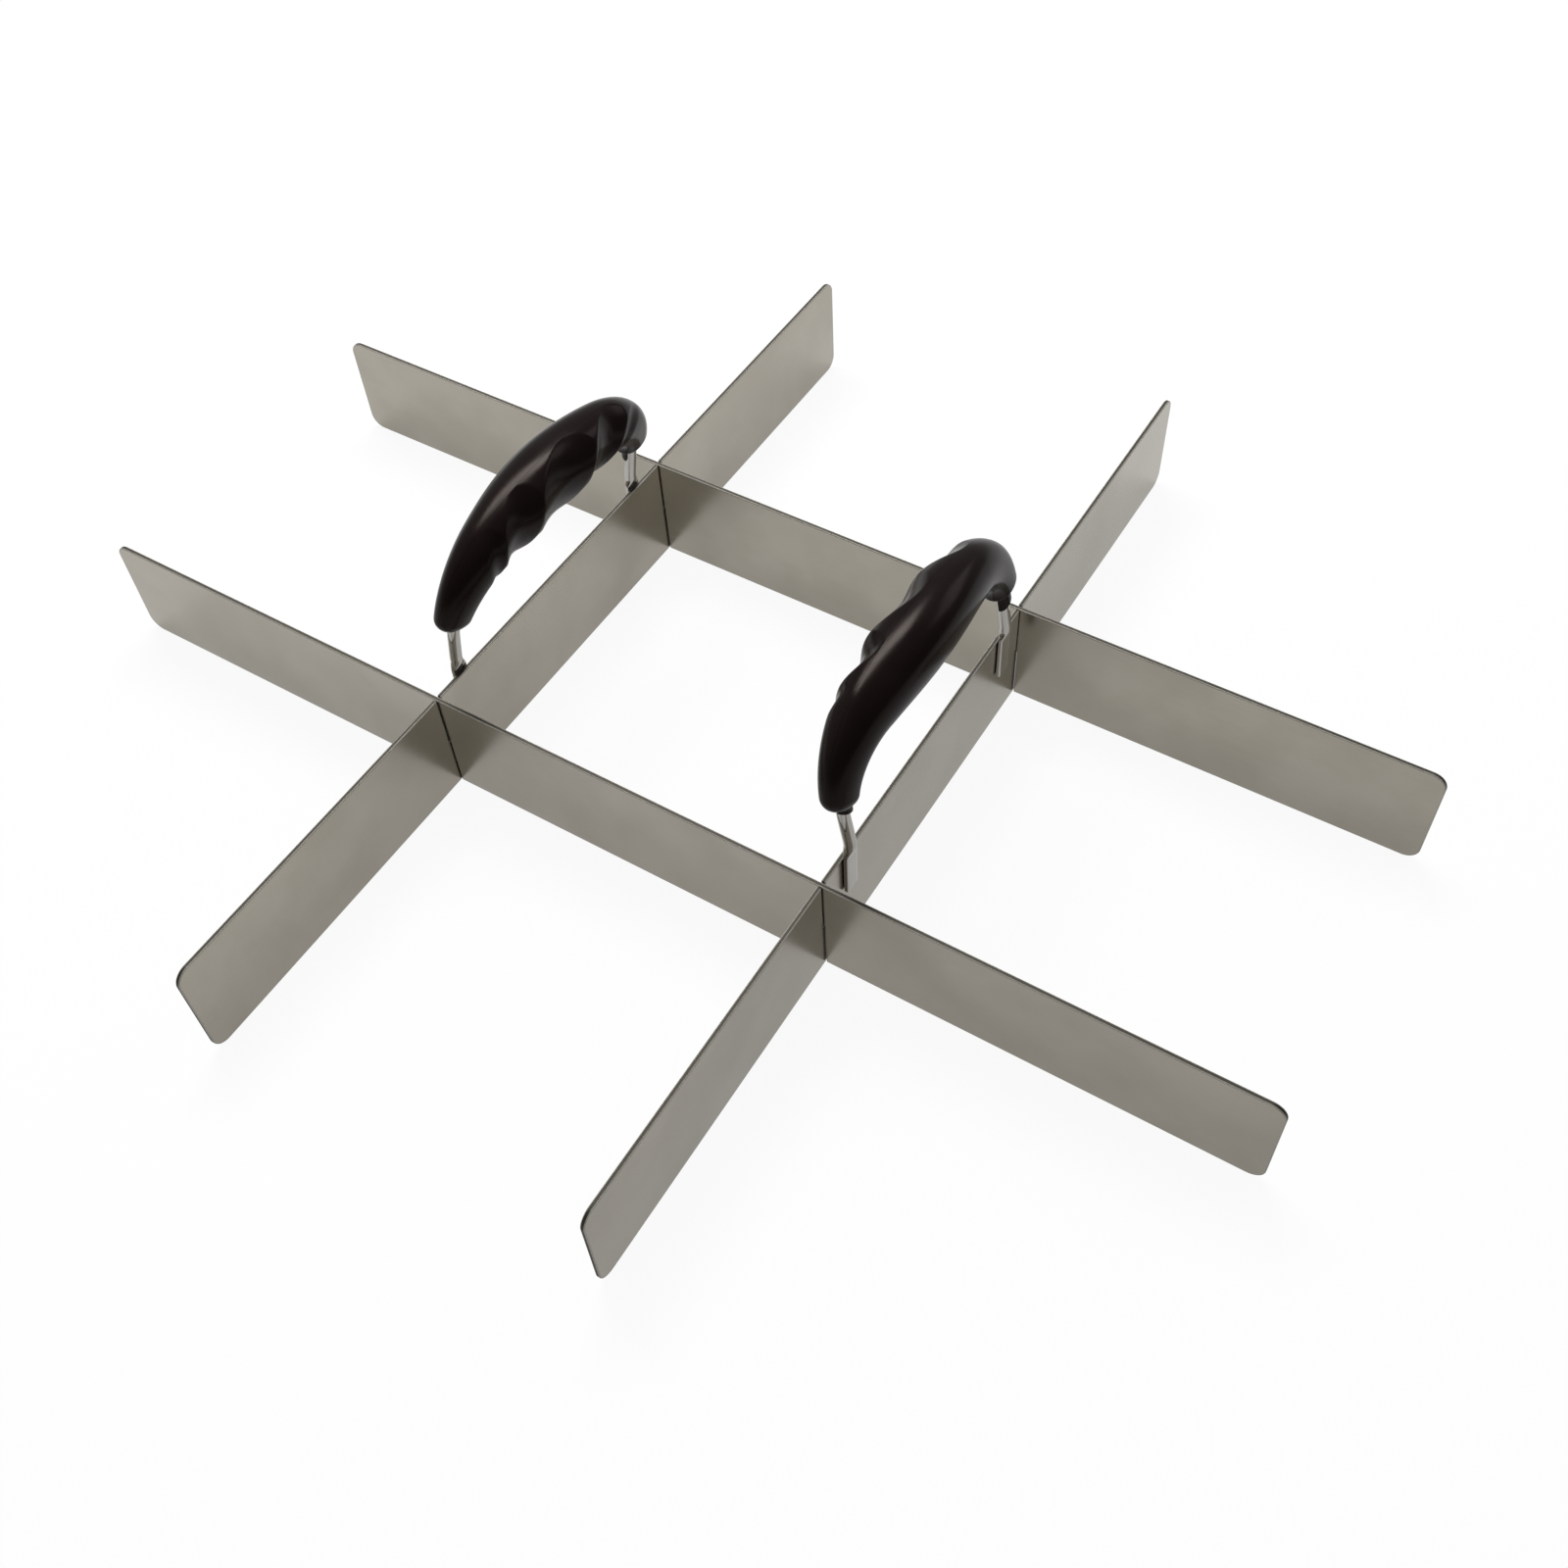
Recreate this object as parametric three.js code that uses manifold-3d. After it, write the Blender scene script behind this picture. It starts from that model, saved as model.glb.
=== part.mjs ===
// A cake portion marker. Two long cross blades drop into the slots of two handle blades, and each
// handle blade carries a bent steel rod with a grip of two moulded shells.
// Millimetres, +Z up. The origin is in the middle of the lattice, on the surface it stands on.
import * as THREE from 'three';
import { mergeVertices } from 'three/addons/utils/BufferGeometryUtils.js';
import Module from 'manifold-3d';

const wasm = await Module();
wasm.setup();

// Blades
const SHEET = 1.5;
const BLADE_HEIGHT = 40;
const CROSS_BLADE_LENGTH = 420;
const HANDLE_BLADE_LENGTH = 358;
const HANDLE_BLADE_SPACING = 140;
const CROSS_BLADE_SPACING = 123;
const CORNER_RADIUS = 5;
const SLOT_SIDE_CLEARANCE = 0.3;
const SLOT_END_CLEARANCE = 0.3;

// Handle rods
const ROD_DIAMETER = 4;
const LEG_INSET = 13.5; // from a cross blade's middle plane to the leg beside it
const FOOT_LENGTH = 16; // how far a foot runs down the blade
const FOOT_WIDTH = 6; // the feet are pressed flat where they are welded on
const FOOT_THICKNESS = 1.7;
const FOOT_POWER = 5; // squareness of the pressed section, where 2 is an ellipse
const FOOT_PRESS_LENGTH = 4; // from the round rod to the flat foot
const FOOT_GAP = 0.1;
const BEND_LIFT = 5.3; // height of the bend over the blade's top edge
const BEND_RADIUS = 12;
const LEG_RISE = 10.7; // straight leg from the bend to the shoulder
const HANDLE_LEAN = 9.5; // degrees towards the middle of the tool
const SHOULDER_RADIUS = 27;
const CROWN_ANGLE = 15.7; // degrees from the crown's middle to the shoulder
const SHOULDER_SHARE = 0.8; // the most of the half span that a shoulder may take

// Grips, with each side's reach from the rod in the middle, half way out and at the end. The rear end is
// blunt, and thicker on the inside of the bow, which stops the hand.
const PALM_REACH = [11.3, 8.55, 4.95];
const FINGER_REACH = [9.9, 8.65, 4.5];
const FRONT_BACK_REACH = [9.15, 9.4, 7.4];
const REAR_BACK_REACH = [9.15, 9.4, 6.7];
const FRONT_BELLY_REACH = [13.7, 9.25, 4.4];
const REAR_BELLY_REACH = [13.7, 9.25, 6.4];
const SECTION_POWER = 2.14; // 2 is an ellipse, more is squarer
const FRONT_CAP_LENGTH = 4.6;
const REAR_CAP_LENGTH = 2.4;
const GRIP_INSET = 5; // from the shoulder's lower end back to the grip's round end
const FRONT_NECK_LENGTH = 2.5; // of the palm shell's half collar, on the inside of the bow
const REAR_NECK_LENGTH = 7.5;
const NECK_BACK_SHARE = 0.4; // how much of that there is on the outside
const NECK_WALL = 0.9;
const CHANNEL_CLEARANCE = 0.3;
const PARTING_GAP = 0.3;

// Finger rests, with degrees round the section from the palm side over the back
const MIDDLE_REST_WIDTH = 26.6;
const SIDE_REST_WIDTH = 17.4;
const REST_DEPTH = 2.4;
const REST_DEEPEST = 155; // degrees
const REST_SPREAD = [64, 104]; // degrees from the deepest place to the upper and the lower rim
const REST_SHIFT = 2.15; // of the middle rest along the grip, where it is deepest
const REST_SLANT = -0.085; // along the grip for each degree round it
const REST_FADE = 1.45; // where the skin is full again, in side rests past the middle one

// Facets
const CORNER_STEPS = 6;
const CURVE_STEPS = 18;
const BEND_STEPS = 3;
const PRESS_STEPS = 6;
const ROD_SECTION_STEPS = 24;
const BODY_STEPS = 22;
const CAP_STEPS = 4;
const SECTION_STEPS = 32;

// Finishes
const steel = new THREE.MeshStandardMaterial({ color: 0xa39e94, roughness: 0.3, metalness: 1 });
const polished = new THREE.MeshStandardMaterial({ color: 0xc9c8c5, roughness: 0.1, metalness: 1 });
const plastic = new THREE.MeshStandardMaterial({ color: 0x171315, roughness: 0.3, metalness: 0 });

// Values that follow from the sizes above
const rodRadius = ROD_DIAMETER / 2;
const channelRadius = rodRadius + CHANNEL_CLEARANCE;
const neckRadius = channelRadius + NECK_WALL;
const lean = THREE.MathUtils.degToRad(HANDLE_LEAN);
const crownAngle = THREE.MathUtils.degToRad(CROWN_ANGLE);
const legSpan = CROSS_BLADE_SPACING / 2 - LEG_INSET;
const shoulderRadius = Math.min(SHOULDER_RADIUS, SHOULDER_SHARE * legSpan);
const crownRadius = shoulderRadius + (legSpan - shoulderRadius) / Math.sin(crownAngle);
const crownLength = crownRadius * crownAngle;
const curvedLength = crownLength + shoulderRadius * (Math.PI / 2 - crownAngle);
const shoulderRise = shoulderRadius * Math.cos(crownAngle);
const crownRise = LEG_RISE + shoulderRise + crownRadius * (1 - Math.cos(crownAngle));
const bladeFace = (HANDLE_BLADE_SPACING + SHEET) / 2;
const legOffset = bladeFace + FOOT_GAP + FOOT_THICKNESS / 2;
const bendHeight = BLADE_HEIGHT + BEND_LIFT;
const bendReach = BEND_RADIUS * Math.tan(lean / 2);
const bendStart = curvedLength + LEG_RISE - bendReach;
const footStart = bendStart + BEND_RADIUS * lean;
const halfRodLength = footStart + BEND_LIFT - bendReach + FOOT_LENGTH;
const gripEnd = curvedLength - GRIP_INSET;

// A closed geometry as a solid that can be joined and cut
function solidOf(geometry) {
  const bare = geometry.clone();
  bare.deleteAttribute('normal');
  bare.deleteAttribute('uv');
  const merged = mergeVertices(bare);
  return new wasm.Manifold(new wasm.Mesh({
    numProp: 3,
    vertProperties: new Float32Array(merged.attributes.position.array),
    triVerts: new Uint32Array(merged.index.array),
  }));
}

// A solid back as a geometry
function geometryOf(solid) {
  const mesh = solid.getMesh();
  const geometry = new THREE.BufferGeometry();
  geometry.setAttribute('position', new THREE.BufferAttribute(new Float32Array(mesh.vertProperties), 3));
  geometry.setIndex(new THREE.BufferAttribute(new Uint32Array(mesh.triVerts), 1));
  geometry.computeVertexNormals();
  return geometry;
}

function named(name, geometry, material) {
  const mesh = new THREE.Mesh(geometry, material);
  mesh.name = name;
  return mesh;
}

// A box from its lowest to its highest corner
function boxBetween(low, high) {
  const size = high.clone().sub(low);
  const middle = high.clone().add(low).multiplyScalar(0.5);
  return new THREE.BoxGeometry(size.x, size.y, size.z).translate(middle.x, middle.y, middle.z);
}

// A strip on edge along X, with round corners and a half-height slot at each of two places:
// open at the bottom on a cross blade, and at the top on a handle blade.
function bladeGeometry(length, slotSpacing, slotsOpenAtTop) {
  const end = length / 2;
  const slotHalf = SHEET / 2 + SLOT_SIDE_CLEARANCE;
  const slotDepth = (BLADE_HEIGHT + SLOT_END_CLEARANCE) / 2;
  const near = CORNER_RADIUS;
  const far = BLADE_HEIGHT - CORNER_RADIUS;
  const outline = new THREE.Shape();
  const slotTo = (middle, direction, edge, floor) => {
    outline.lineTo(middle - direction * slotHalf, edge);
    outline.lineTo(middle - direction * slotHalf, floor);
    outline.lineTo(middle + direction * slotHalf, floor);
    outline.lineTo(middle + direction * slotHalf, edge);
  };
  outline.moveTo(-end + CORNER_RADIUS, 0);
  if (!slotsOpenAtTop) {
    slotTo(-slotSpacing / 2, 1, 0, slotDepth);
    slotTo(slotSpacing / 2, 1, 0, slotDepth);
  }
  outline.absarc(end - CORNER_RADIUS, near, CORNER_RADIUS, -Math.PI / 2, 0, false);
  outline.absarc(end - CORNER_RADIUS, far, CORNER_RADIUS, 0, Math.PI / 2, false);
  if (slotsOpenAtTop) {
    slotTo(slotSpacing / 2, -1, BLADE_HEIGHT, BLADE_HEIGHT - slotDepth);
    slotTo(-slotSpacing / 2, -1, BLADE_HEIGHT, BLADE_HEIGHT - slotDepth);
  }
  outline.absarc(-end + CORNER_RADIUS, far, CORNER_RADIUS, Math.PI / 2, Math.PI, false);
  outline.absarc(-end + CORNER_RADIUS, near, CORNER_RADIUS, Math.PI, Math.PI * 1.5, false);
  const strip = new THREE.ExtrudeGeometry(outline, {
    depth: SHEET,
    bevelEnabled: false,
    curveSegments: CORNER_STEPS,
  });
  return strip.translate(0, 0, -SHEET / 2).rotateX(Math.PI / 2);
}

// The rod's centre line in the bow's own frame, X out, Y along the blade and Z up from the bend,
// at a length along it from the crown: a crown arc, a tighter shoulder, a straight leg that leans
// with the bow, a slight bend and an upright foot. The tilt turns the section along the arcs, and
// the swing turns it in the bend.
function bowPlace(along) {
  const side = along < 0 ? -1 : 1;
  const distance = Math.abs(along);
  const place = new THREE.Vector3(0, legSpan, LEG_RISE);
  let tilt = Math.PI / 2;
  let swing = 0;
  if (distance <= crownLength) {
    tilt = distance / crownRadius;
    place.y = crownRadius * Math.sin(tilt);
    place.z = crownRise - crownRadius * (1 - Math.cos(tilt));
  } else if (distance <= curvedLength) {
    tilt = crownAngle + (distance - crownLength) / shoulderRadius;
    place.y = legSpan - shoulderRadius * (1 - Math.sin(tilt));
    place.z = LEG_RISE + shoulderRadius * Math.cos(tilt);
  } else {
    swing = THREE.MathUtils.clamp((distance - bendStart) / BEND_RADIUS, 0, lean);
    const leg = Math.min(distance, bendStart) - curvedLength;
    const foot = Math.max(distance - footStart, 0);
    place.x = -BEND_RADIUS * (1 - Math.cos(swing)) - foot * Math.sin(lean);
    place.z = LEG_RISE - leg - BEND_RADIUS * Math.sin(swing) - foot * Math.cos(lean);
  }
  place.y *= side;
  return { place, tilt: side * tilt, swing };
}

// A sine or cosine pushed outwards, so that a section is squarer than an ellipse
function squared(value, power) {
  return Math.sign(value) * Math.abs(value) ** (2 / power);
}

// A closed skin over rings of equal count, with a flat fan at each end
function skinOver(rings) {
  const count = rings[0].length;
  const last = (rings.length - 1) * count;
  const faces = [];
  for (let ring = 0; ring + 1 < rings.length; ring += 1) {
    for (let step = 0; step < count; step += 1) {
      const here = ring * count + step;
      const beside = ring * count + ((step + 1) % count);
      faces.push(here, here + count, beside, beside, here + count, beside + count);
    }
  }
  for (let step = 1; step + 1 < count; step += 1) {
    faces.push(0, step, step + 1, last, last + step + 1, last + step);
  }
  const geometry = new THREE.BufferGeometry();
  const places = rings.flat().flatMap((point) => point.toArray());
  geometry.setAttribute('position', new THREE.Float32BufferAttribute(places, 3));
  geometry.setIndex(faces);
  return geometry;
}

// Lengths along the rod from foot to foot, closer together where it bends and is pressed flat
function rodStations() {
  const half = [];
  for (let step = 1; step <= CURVE_STEPS; step += 1) {
    half.push((curvedLength * step) / CURVE_STEPS);
  }
  for (let step = 0; step < BEND_STEPS; step += 1) {
    half.push(bendStart + ((footStart - bendStart) * step) / BEND_STEPS);
  }
  for (let step = 0; step <= PRESS_STEPS; step += 1) {
    half.push(footStart + (FOOT_PRESS_LENGTH * step) / PRESS_STEPS);
  }
  half.push(halfRodLength);
  return [...half.map((along) => -along).reverse(), 0, ...half];
}

// A bar along the whole bow. The sizes at a length along it are its half thickness across the bow's
// plane, its half width in it, and its squareness.
function bowBar(sizesAt) {
  const rings = rodStations().map((along) => {
    const { place, tilt, swing } = bowPlace(along);
    const { halfThickness, halfWidth, power } = sizesAt(along);
    const out = new THREE.Vector3(Math.cos(swing), 0, -Math.sin(swing));
    const up = new THREE.Vector3(0, Math.sin(tilt), Math.cos(tilt));
    const ring = [];
    for (let step = 0; step < ROD_SECTION_STEPS; step += 1) {
      const angle = (2 * Math.PI * step) / ROD_SECTION_STEPS;
      const across = halfThickness * squared(Math.cos(angle), power);
      const above = halfWidth * squared(Math.sin(angle), power);
      ring.push(place.clone().addScaledVector(out, across).addScaledVector(up, above));
    }
    return ring;
  });
  return solidOf(skinOver(rings));
}

// The bent rod, set beside its blade: round but for its feet, which are pressed flat
function rodGeometry() {
  const bar = bowBar((along) => {
    const pressed = THREE.MathUtils.smoothstep(Math.abs(along), footStart, footStart + FOOT_PRESS_LENGTH);
    return {
      halfThickness: THREE.MathUtils.lerp(rodRadius, FOOT_THICKNESS / 2, pressed),
      halfWidth: THREE.MathUtils.lerp(rodRadius, FOOT_WIDTH / 2, pressed),
      power: THREE.MathUtils.lerp(2, FOOT_POWER, pressed),
    };
  });
  return geometryOf(bar).rotateY(-lean).translate(legOffset, 0, bendHeight);
}

// A smooth value through three: in the middle, half way out and at the end
function eased([middle, halfway, end], share) {
  const square = share * share;
  const slope = (16 * (halfway - middle) - (end - middle)) / 3;
  return middle + slope * square + (end - middle - slope) * square * square;
}

// How deep the finger rests are at a place on the skin: bowls side by side, slanted round the grip,
// which end soon past the last ridge
function restDepth(along, degrees) {
  const round = degrees - REST_DEEPEST;
  const distance = Math.abs(along - REST_SHIFT - REST_SLANT * round);
  const sideRests = (distance - MIDDLE_REST_WIDTH / 2) / SIDE_REST_WIDTH;
  const rests = Math.max(distance / MIDDLE_REST_WIDTH, 0.5 + sideRests);
  const towardsRim = round / REST_SPREAD[round < 0 ? 0 : 1];
  const bowl = Math.max(Math.abs(Math.cos(Math.PI * rests)) - towardsRim * towardsRim, 0);
  return REST_DEPTH * bowl * (1 - THREE.MathUtils.smoothstep(sideRests, 1, REST_FADE));
}

// One ring of the grip's skin, round the rod at a length along it. On the neck the ring lies askew,
// so that the neck is longer on the inside of the bow. The hand is 1 on the right grip and -1 on the left.
function gripRing(along, hand) {
  const isRear = along * hand > 0;
  const backReach = isRear ? REAR_BACK_REACH : FRONT_BACK_REACH;
  const bellyReach = isRear ? REAR_BELLY_REACH : FRONT_BELLY_REACH;
  const capLength = isRear ? REAR_CAP_LENGTH : FRONT_CAP_LENGTH;
  const distance = Math.abs(along);
  const share = Math.min(distance / gripEnd, 1);
  const intoCap = THREE.MathUtils.clamp((distance - gripEnd) / capLength + 1, 0, 1);
  const intoNeck = Math.max(distance - gripEnd, 0);
  const rounding = Math.sqrt(1 - intoCap * intoCap);
  const reach = (values) => Math.max(eased(values, share) * rounding, neckRadius);
  const out = new THREE.Vector3(1, 0, 0);
  const ring = [];
  for (let step = 0; step < SECTION_STEPS; step += 1) {
    const degrees = (360 * step) / SECTION_STEPS;
    const angle = THREE.MathUtils.degToRad(degrees);
    const neckLoss = (intoNeck * (1 - NECK_BACK_SHARE) * (1 + Math.sin(angle))) / 2;
    const { place, tilt } = bowPlace(along - Math.sign(along) * neckLoss);
    const up = new THREE.Vector3(0, Math.sin(tilt), Math.cos(tilt));
    const side = degrees < 90 || degrees > 270 ? PALM_REACH : FINGER_REACH;
    const across = squared(Math.cos(angle), SECTION_POWER) * reach(side);
    const above = squared(Math.sin(angle), SECTION_POWER) * reach(degrees < 180 ? backReach : bellyReach);
    const radius = Math.hypot(across, above);
    const rest = restDepth(along * hand, degrees) * rounding;
    const scale = Math.max(radius - rest, neckRadius) / radius;
    ring.push(place.clone().addScaledVector(out, across * scale).addScaledVector(up, above * scale));
  }
  return ring;
}

// Lengths from the grip's middle to one end, closer together on the round cap
function halfStations(capLength, neckLength) {
  const bodyEnd = gripEnd - capLength;
  const half = [];
  for (let step = 1; step <= BODY_STEPS; step += 1) {
    half.push((bodyEnd * step) / BODY_STEPS);
  }
  for (let step = 1; step <= CAP_STEPS; step += 1) {
    half.push(bodyEnd + capLength * Math.sin((step / CAP_STEPS) * (Math.PI / 2)));
  }
  return neckLength > 0 ? [...half, gripEnd + neckLength] : half;
}

// Lengths along the whole grip, from its lowest to its highest
function gripStations(hand, hasNecks) {
  const front = halfStations(FRONT_CAP_LENGTH, hasNecks ? FRONT_NECK_LENGTH : 0);
  const rear = halfStations(REAR_CAP_LENGTH, hasNecks ? REAR_NECK_LENGTH : 0);
  const stations = [...front.map((along) => -along).reverse(), 0, ...rear];
  return hand > 0 ? stations : stations.map((along) => -along).reverse();
}

// The grip's two shells, parted in the plane of the bow and hollowed for the rod. Only the palm shell
// goes on past the grip's ends, as a half collar behind the rod.
function shellGeometries(hand) {
  const channel = bowBar(() => ({ halfThickness: channelRadius, halfWidth: channelRadius, power: 2 }));
  const body = (hasNecks) => {
    const rings = gripStations(hand, hasNecks).map((along) => gripRing(along, hand));
    return solidOf(skinOver(rings)).subtract(channel);
  };
  const width = 2 * Math.max(...PALM_REACH, ...FINGER_REACH);
  const length = 2 * (legSpan + width);
  const height = 2 * (crownRise + width);
  const outer = boxBetween(
    new THREE.Vector3(PARTING_GAP / 2, -length / 2, -height / 2),
    new THREE.Vector3(width, length / 2, height),
  );
  const inner = outer.clone().translate(-width - PARTING_GAP / 2, 0, 0);
  return {
    palm: geometryOf(body(true).intersect(solidOf(outer))),
    finger: geometryOf(body(false).intersect(solidOf(inner))),
  };
}

const marker = new THREE.Group();

for (const [place, side] of [['front', -1], ['rear', 1]]) {
  const geometry = bladeGeometry(CROSS_BLADE_LENGTH, HANDLE_BLADE_SPACING, false);
  const blade = named(`cross_blade_${place}`, geometry, steel);
  blade.position.y = (side * CROSS_BLADE_SPACING) / 2;
  marker.add(blade);
}

const rod = rodGeometry();
for (const [place, turn, hand] of [['right', 0, 1], ['left', Math.PI, -1]]) {
  const handle = new THREE.Group();
  handle.rotation.z = turn;

  const strip = bladeGeometry(HANDLE_BLADE_LENGTH, CROSS_BLADE_SPACING, true).rotateZ(Math.PI / 2);
  const blade = named(`handle_blade_${place}`, strip, steel);
  blade.position.x = HANDLE_BLADE_SPACING / 2;
  handle.add(blade, named(`${place}_handle_rod`, rod, polished));

  const shells = shellGeometries(hand);
  const bow = new THREE.Group();
  bow.position.set(legOffset, 0, bendHeight);
  bow.rotation.y = -lean;
  bow.add(named(`${place}_palm_shell`, shells.palm, plastic));
  bow.add(named(`${place}_finger_shell`, shells.finger, plastic));
  handle.add(bow);
  marker.add(handle);
}

export default marker;
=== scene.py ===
"""The looks of a cake portion marker: satin steel blades, polished handle rods and black moulded grips.

Metres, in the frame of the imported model: +X along the cross blades, +Y along the handle blades, +Z up.
"""
import math

import bmesh
import bpy
from mathutils import Matrix, Vector


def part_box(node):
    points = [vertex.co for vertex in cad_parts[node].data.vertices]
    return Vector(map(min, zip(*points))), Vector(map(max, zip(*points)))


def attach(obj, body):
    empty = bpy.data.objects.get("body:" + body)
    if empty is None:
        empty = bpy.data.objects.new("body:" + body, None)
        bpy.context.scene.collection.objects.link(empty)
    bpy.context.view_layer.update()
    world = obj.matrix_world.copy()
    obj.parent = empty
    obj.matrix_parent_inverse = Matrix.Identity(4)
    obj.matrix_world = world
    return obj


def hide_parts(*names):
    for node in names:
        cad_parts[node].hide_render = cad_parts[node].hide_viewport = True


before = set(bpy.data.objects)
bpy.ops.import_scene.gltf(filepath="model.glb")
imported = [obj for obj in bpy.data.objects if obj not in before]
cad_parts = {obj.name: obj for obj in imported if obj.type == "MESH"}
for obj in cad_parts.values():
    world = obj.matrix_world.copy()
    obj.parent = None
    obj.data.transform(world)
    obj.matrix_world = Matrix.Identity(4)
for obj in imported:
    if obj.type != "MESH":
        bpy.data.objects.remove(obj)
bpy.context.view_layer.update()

# Blades, with the cosines that tell a strip's faces, its cut edges and the arrises between them apart
CORNER_RADIUS = 0.005
CORNER_STEPS = 10
SLOT_SIDE_CLEARANCE = 0.0003
SLOT_END_CLEARANCE = 0.0003
ARRIS_WIDTH = 0.00033
ARRIS_STEPS = 2
ARRIS_ANGLE = math.radians(30)
FACE_COSINE = 0.95
CUT_COSINE = 0.05

# Handle rods
ROD_RADIUS = 0.002
LEG_INSET = 0.0135
FOOT_LENGTH = 0.016
FOOT_WIDTH = 0.006
FOOT_THICKNESS = 0.0017
ROUND_POWER = 2.0
FOOT_POWER = 5
FOOT_PRESS_LENGTH = 0.004
FOOT_GAP = 0.0001
BEND_LIFT = 0.0053
BEND_RADIUS = 0.012
LEG_RISE = 0.0107
HANDLE_LEAN = math.radians(9.5)
SHOULDER_RADIUS = 0.027
CROWN_ANGLE = math.radians(15.7)
ROD_RINGS = 400
ROD_SIDES = 40

# Grips, with each side's reach from the rod in the middle, half way out and at the end
PALM_REACH = (0.0113, 0.00855, 0.00495)
FINGER_REACH = (0.0099, 0.00865, 0.0045)
FRONT_BACK_REACH = (0.00914, 0.0094, 0.0074)
REAR_BACK_REACH = (0.00914, 0.0094, 0.0067)
FRONT_BELLY_REACH = (0.0137, 0.00925, 0.0044)
REAR_BELLY_REACH = (0.0137, 0.00925, 0.0064)
SECTION_POWER = 2.14
FRONT_CAP_LENGTH = 0.0046
REAR_CAP_LENGTH = 0.0024
GRIP_INSET = 0.005
FRONT_NECK_LENGTH = 0.0025
REAR_NECK_LENGTH = 0.0075
NECK_BACK_SHARE = 0.4
NECK_WALL = 0.0008
NECK_BLEND = 0.0012
LIP_LENGTH = 0.0005
CHANNEL_CLEARANCE = 0.0001
PARTING_GAP = 0.00006
GRIP_RINGS = 420
SKIN_POINTS = 72
MERGE_DISTANCE = 1e-6
SHARP_ANGLE = math.radians(35)

# Finger rests, with degrees round the section from the palm side over the back
MIDDLE_REST_WIDTH = 0.0266
SIDE_REST_WIDTH = 0.0174
REST_DEPTH = 0.0024
REST_DEEPEST = 155
UPPER_REST_SPREAD = 64
LOWER_REST_SPREAD = 104
REST_SHIFT = 0.00215
REST_SLANT = -0.000085
REST_FADE = 1.45
REST_RIM_BLEND = 0.03
RIDGE_BLEND = 0.05

# Tones of the finishes, each from its darker to its lighter one
STRIP_TONES = ((0.333, 0.309, 0.26, 1), (0.397, 0.371, 0.319, 1))
# The cut edges' tones are painted shade: far darker than cut steel, for the dark line along the strips' top
# edges
CUT_EDGE_PAINTED_SHADE_TONES = ((0.05, 0.046, 0.038, 1), (0.1, 0.092, 0.078, 1))
ARRIS_TONES = ((0.3, 0.285, 0.25, 1), (0.44, 0.42, 0.375, 1))
ROD_TONES = ((0.36, 0.345, 0.32, 1), (0.44, 0.425, 0.4, 1))
PLASTIC_TONES = ((0.0065, 0.0039, 0.004, 1), (0.011, 0.0068, 0.0068, 1))

# Marks in the strips and the plastic: how many in a metre, how deep and how rough
STRIP_LINES_ACROSS = 900.0
STRIP_LINES_ALONG = 14.0
STRIP_CLOUDS = 34.0
STRIP_CLOUD_EDGES = (0.3, 0.7)
STRIP_CLOUD_SHARE = 0.7
STRIP_LINE_SHARE = 0.3
STRIP_LINE_STRENGTH = 0.05
STRIP_LINE_DEPTH = 0.0002
STRIP_ROUGHNESS = 0.19
STRIP_CLOUD_ROUGHNESS = 0.08
STRIP_LINE_ROUGHNESS = 0.04
PLASTIC_GRAINS = 2600.0
PLASTIC_GRAIN_STRENGTH = 0.06
PLASTIC_GRAIN_DEPTH = 0.0001
PLASTIC_WEAR_MARKS = 70.0
PLASTIC_WEAR_EDGES = (0.3, 0.75)
PLASTIC_ROUGHNESS = 0.19
PLASTIC_WEAR_ROUGHNESS = 0.08
PLASTIC_GLOSS = 0.085
PLASTIC_GLOSS_TINT = (1.0, 0.85, 0.75, 1)

# Camera, fitted to the blades' corners in the photograph, whose frame is square
CAMERA_TARGET = Vector((0.02439, -0.0111, 0))
CAMERA_DISTANCE = 0.5606
CAMERA_AZIMUTH = math.radians(34.997)
CAMERA_ELEVATION = math.radians(52.584)
CAMERA_ROLL = math.radians(-4.166)
FRAME_PIXELS = 1600
FOCAL_PIXELS = 1753.37
SENSOR_WIDTH = 36
NEAREST_SEEN = 0.01

# Lamps, each with its azimuth and elevation
LAMP_DISTANCE = 1.2
KEY_LAMP_WAY = (math.radians(138), math.radians(60))
KEY_LAMP_SIZE = (0.72, 0.28)
KEY_LAMP_POWER = 11.4
RIM_LAMP_WAY = (math.radians(64), math.radians(36))
RIM_LAMP_SIZE = (0.5, 0.4)
RIM_LAMP_POWER = 1.2

# Floor, with the share of its own glow that the camera and the gloss of the steel see, and the painted
# fall-off of light in the glow the gloss sees
FLOOR_HALF = 3
FLOOR_DROP = 0.0003
FLOOR_TONE = (0.97, 0.97, 0.96, 1)
FLOOR_SEEN_GLOW = 0.93
FLOOR_GLOSS_GLOW = 0.75
FLOOR_FADE_WAY = (0.7, -0.7, 0)
FLOOR_FADE_REACH = 0.3
FLOOR_FADED = 0.72

# Room round the object, with the wall's edges as cosines from its middle and the ceiling's as heights
EVEN_LIGHT = 0.336
DARK_ROOM_LIGHT = 0.072
BRIGHT_WALL_LIGHT = 0.42
BRIGHT_WALL_AZIMUTH = math.radians(150)
BRIGHT_WALL_EDGES = (-0.5, 0.6)
CEILING_EDGES = (0.75, 1.0)
CEILING_SHARE = 0.3


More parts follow.
